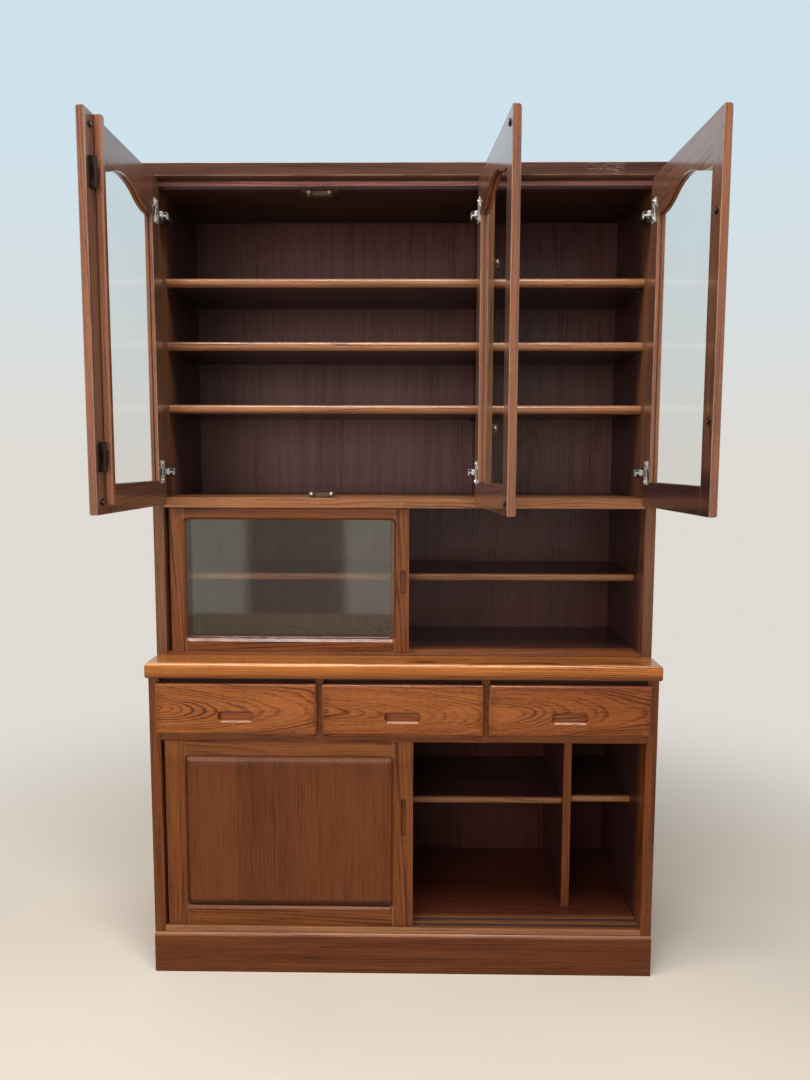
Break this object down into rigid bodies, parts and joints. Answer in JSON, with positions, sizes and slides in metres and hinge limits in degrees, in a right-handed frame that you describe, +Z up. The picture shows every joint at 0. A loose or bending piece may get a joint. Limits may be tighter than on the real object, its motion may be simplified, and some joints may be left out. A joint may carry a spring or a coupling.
{
  "type": "mizuya kitchen cabinet",
  "caption": "Tall stained wood kitchen cabinet with arched glass doors, sliding glass and panelled doors, a row of drawers and a counter ledge between its two stacked cases.",
  "frame": {"origin": "on the floor, middle of the width, at the front edge of the lower case's side panels", "axes": "+X to the right seen from the front, +Y from front to back, +Z up"},
  "size_m": [1.2, 0.7639, 1.9],
  "materials": {
    "case_wood": "glossy lacquer over reddish brown stain",
    "door_wood": "glossy lacquer over reddish brown stain",
    "panel_wood": "glossy lacquer, upright veneer",
    "drawer_wood": "glossy lacquer, level grain",
    "drawer_box_wood": "bare light wood",
    "counter_wood": "glossy lacquer, golden brown",
    "clear_glass": "clear float glass",
    "hinge_metal": "nickel plated",
    "pin_metal": "plain",
    "dark_metal": "dark bronze",
    "catch_brown": "brown body, bright heads"
  },
  "bodies": {
    "root": {"plinth": "case_wood", "lower_side_left": "case_wood", "lower_side_right": "case_wood", "lower_floor": "case_wood", "lower_back": "case_wood", "lower_divider": "case_wood", "lower_shelves": "case_wood", "drawer_deck": "case_wood", "drawer_dividers": "case_wood", "counter_rails": "case_wood", "upper_side_left": "case_wood", "upper_side_right": "case_wood", "upper_back": "case_wood", "upper_track": "case_wood", "mid_board": "case_wood", "middle_shelf": "case_wood", "upper_partition": "case_wood", "upper_shelves": "case_wood", "top_board": "case_wood", "stop_rails": "case_wood", "counter_top": "counter_wood", "shelf_pins": "pin_metal", "catches": "catch_brown", "hinge_arms": "hinge_metal"},
    "left_door": {"left_door_stiles": "door_wood", "left_door_bottom_rail": "door_wood", "left_door_top_rail": "door_wood", "left_door_glass": "clear_glass", "left_door_hinge_cups": "hinge_metal", "left_door_strikes": "dark_metal", "flap_plates": "dark_metal"},
    "centre_door": {"centre_door_stiles": "door_wood", "centre_door_bottom_rail": "door_wood", "centre_door_top_rail": "door_wood", "centre_door_glass": "clear_glass", "centre_door_hinge_cups": "hinge_metal", "centre_door_strikes": "dark_metal"},
    "right_door": {"right_door_stiles": "door_wood", "right_door_bottom_rail": "door_wood", "right_door_top_rail": "door_wood", "right_door_glass": "clear_glass", "right_door_hinge_cups": "hinge_metal", "right_door_strikes": "dark_metal"},
    "flap": {"flap_strip": "door_wood", "flap_arms": "dark_metal"},
    "panel_slider_front": {"panel_slider_front_frame": "door_wood", "panel_slider_front_panel": "panel_wood"},
    "glass_slider_front": {"glass_slider_front_frame": "door_wood", "glass_slider_front_glass": "clear_glass"},
    "panel_slider_rear": {"panel_slider_rear_frame": "door_wood", "panel_slider_rear_panel": "panel_wood"},
    "glass_slider_rear": {"glass_slider_rear_frame": "door_wood", "glass_slider_rear_glass": "clear_glass"},
    "drawer_left": {"drawer_left_front": "drawer_wood", "drawer_left_box": "drawer_box_wood"},
    "drawer_centre": {"drawer_centre_front": "drawer_wood", "drawer_centre_box": "drawer_box_wood"},
    "drawer_right": {"drawer_right_front": "drawer_wood", "drawer_right_box": "drawer_box_wood"}
  },
  "joints": [
    {"name": "left_door_hinge", "type": "hinge", "parent": "root", "child": "left_door", "pos_m": [-0.577, 0.0475, 1.5], "axis": [0, 0, 1], "range_deg": [-8.4, 91.6]},
    {"name": "centre_door_hinge", "type": "hinge", "parent": "root", "child": "centre_door", "pos_m": [0.185, 0.0475, 1.5], "axis": [0, 0, 1], "range_deg": [-94.8, 3.2]},
    {"name": "right_door_hinge", "type": "hinge", "parent": "root", "child": "right_door", "pos_m": [0.577, 0.0475, 1.5], "axis": [0, 0, 1], "range_deg": [-92.4, 7.6]},
    {"name": "flap_hinge", "type": "hinge", "parent": "left_door", "child": "flap", "pos_m": [-0.56171, -0.31107, 1.5], "axis": [0, 0, 1], "range_deg": [-180, 0]},
    {"name": "glass_slider_front_slide", "type": "slide", "parent": "root", "child": "glass_slider_front", "axis": [1, 0, 0], "range_m": [-0.009, 0.556]},
    {"name": "glass_slider_rear_slide", "type": "slide", "parent": "root", "child": "glass_slider_rear", "axis": [1, 0, 0], "range_m": [0, 0.565]},
    {"name": "panel_slider_front_slide", "type": "slide", "parent": "root", "child": "panel_slider_front", "axis": [1, 0, 0], "range_m": [-0.005, 0.545]},
    {"name": "panel_slider_rear_slide", "type": "slide", "parent": "root", "child": "panel_slider_rear", "axis": [1, 0, 0], "range_m": [0, 0.55]},
    {"name": "drawer_left_slide", "type": "slide", "parent": "root", "child": "drawer_left", "axis": [0, -1, 0], "range_m": [0, 0.29]},
    {"name": "drawer_centre_slide", "type": "slide", "parent": "root", "child": "drawer_centre", "axis": [0, -1, 0], "range_m": [0, 0.29]},
    {"name": "drawer_right_slide", "type": "slide", "parent": "root", "child": "drawer_right", "axis": [0, -1, 0], "range_m": [0, 0.29]}
  ]
}
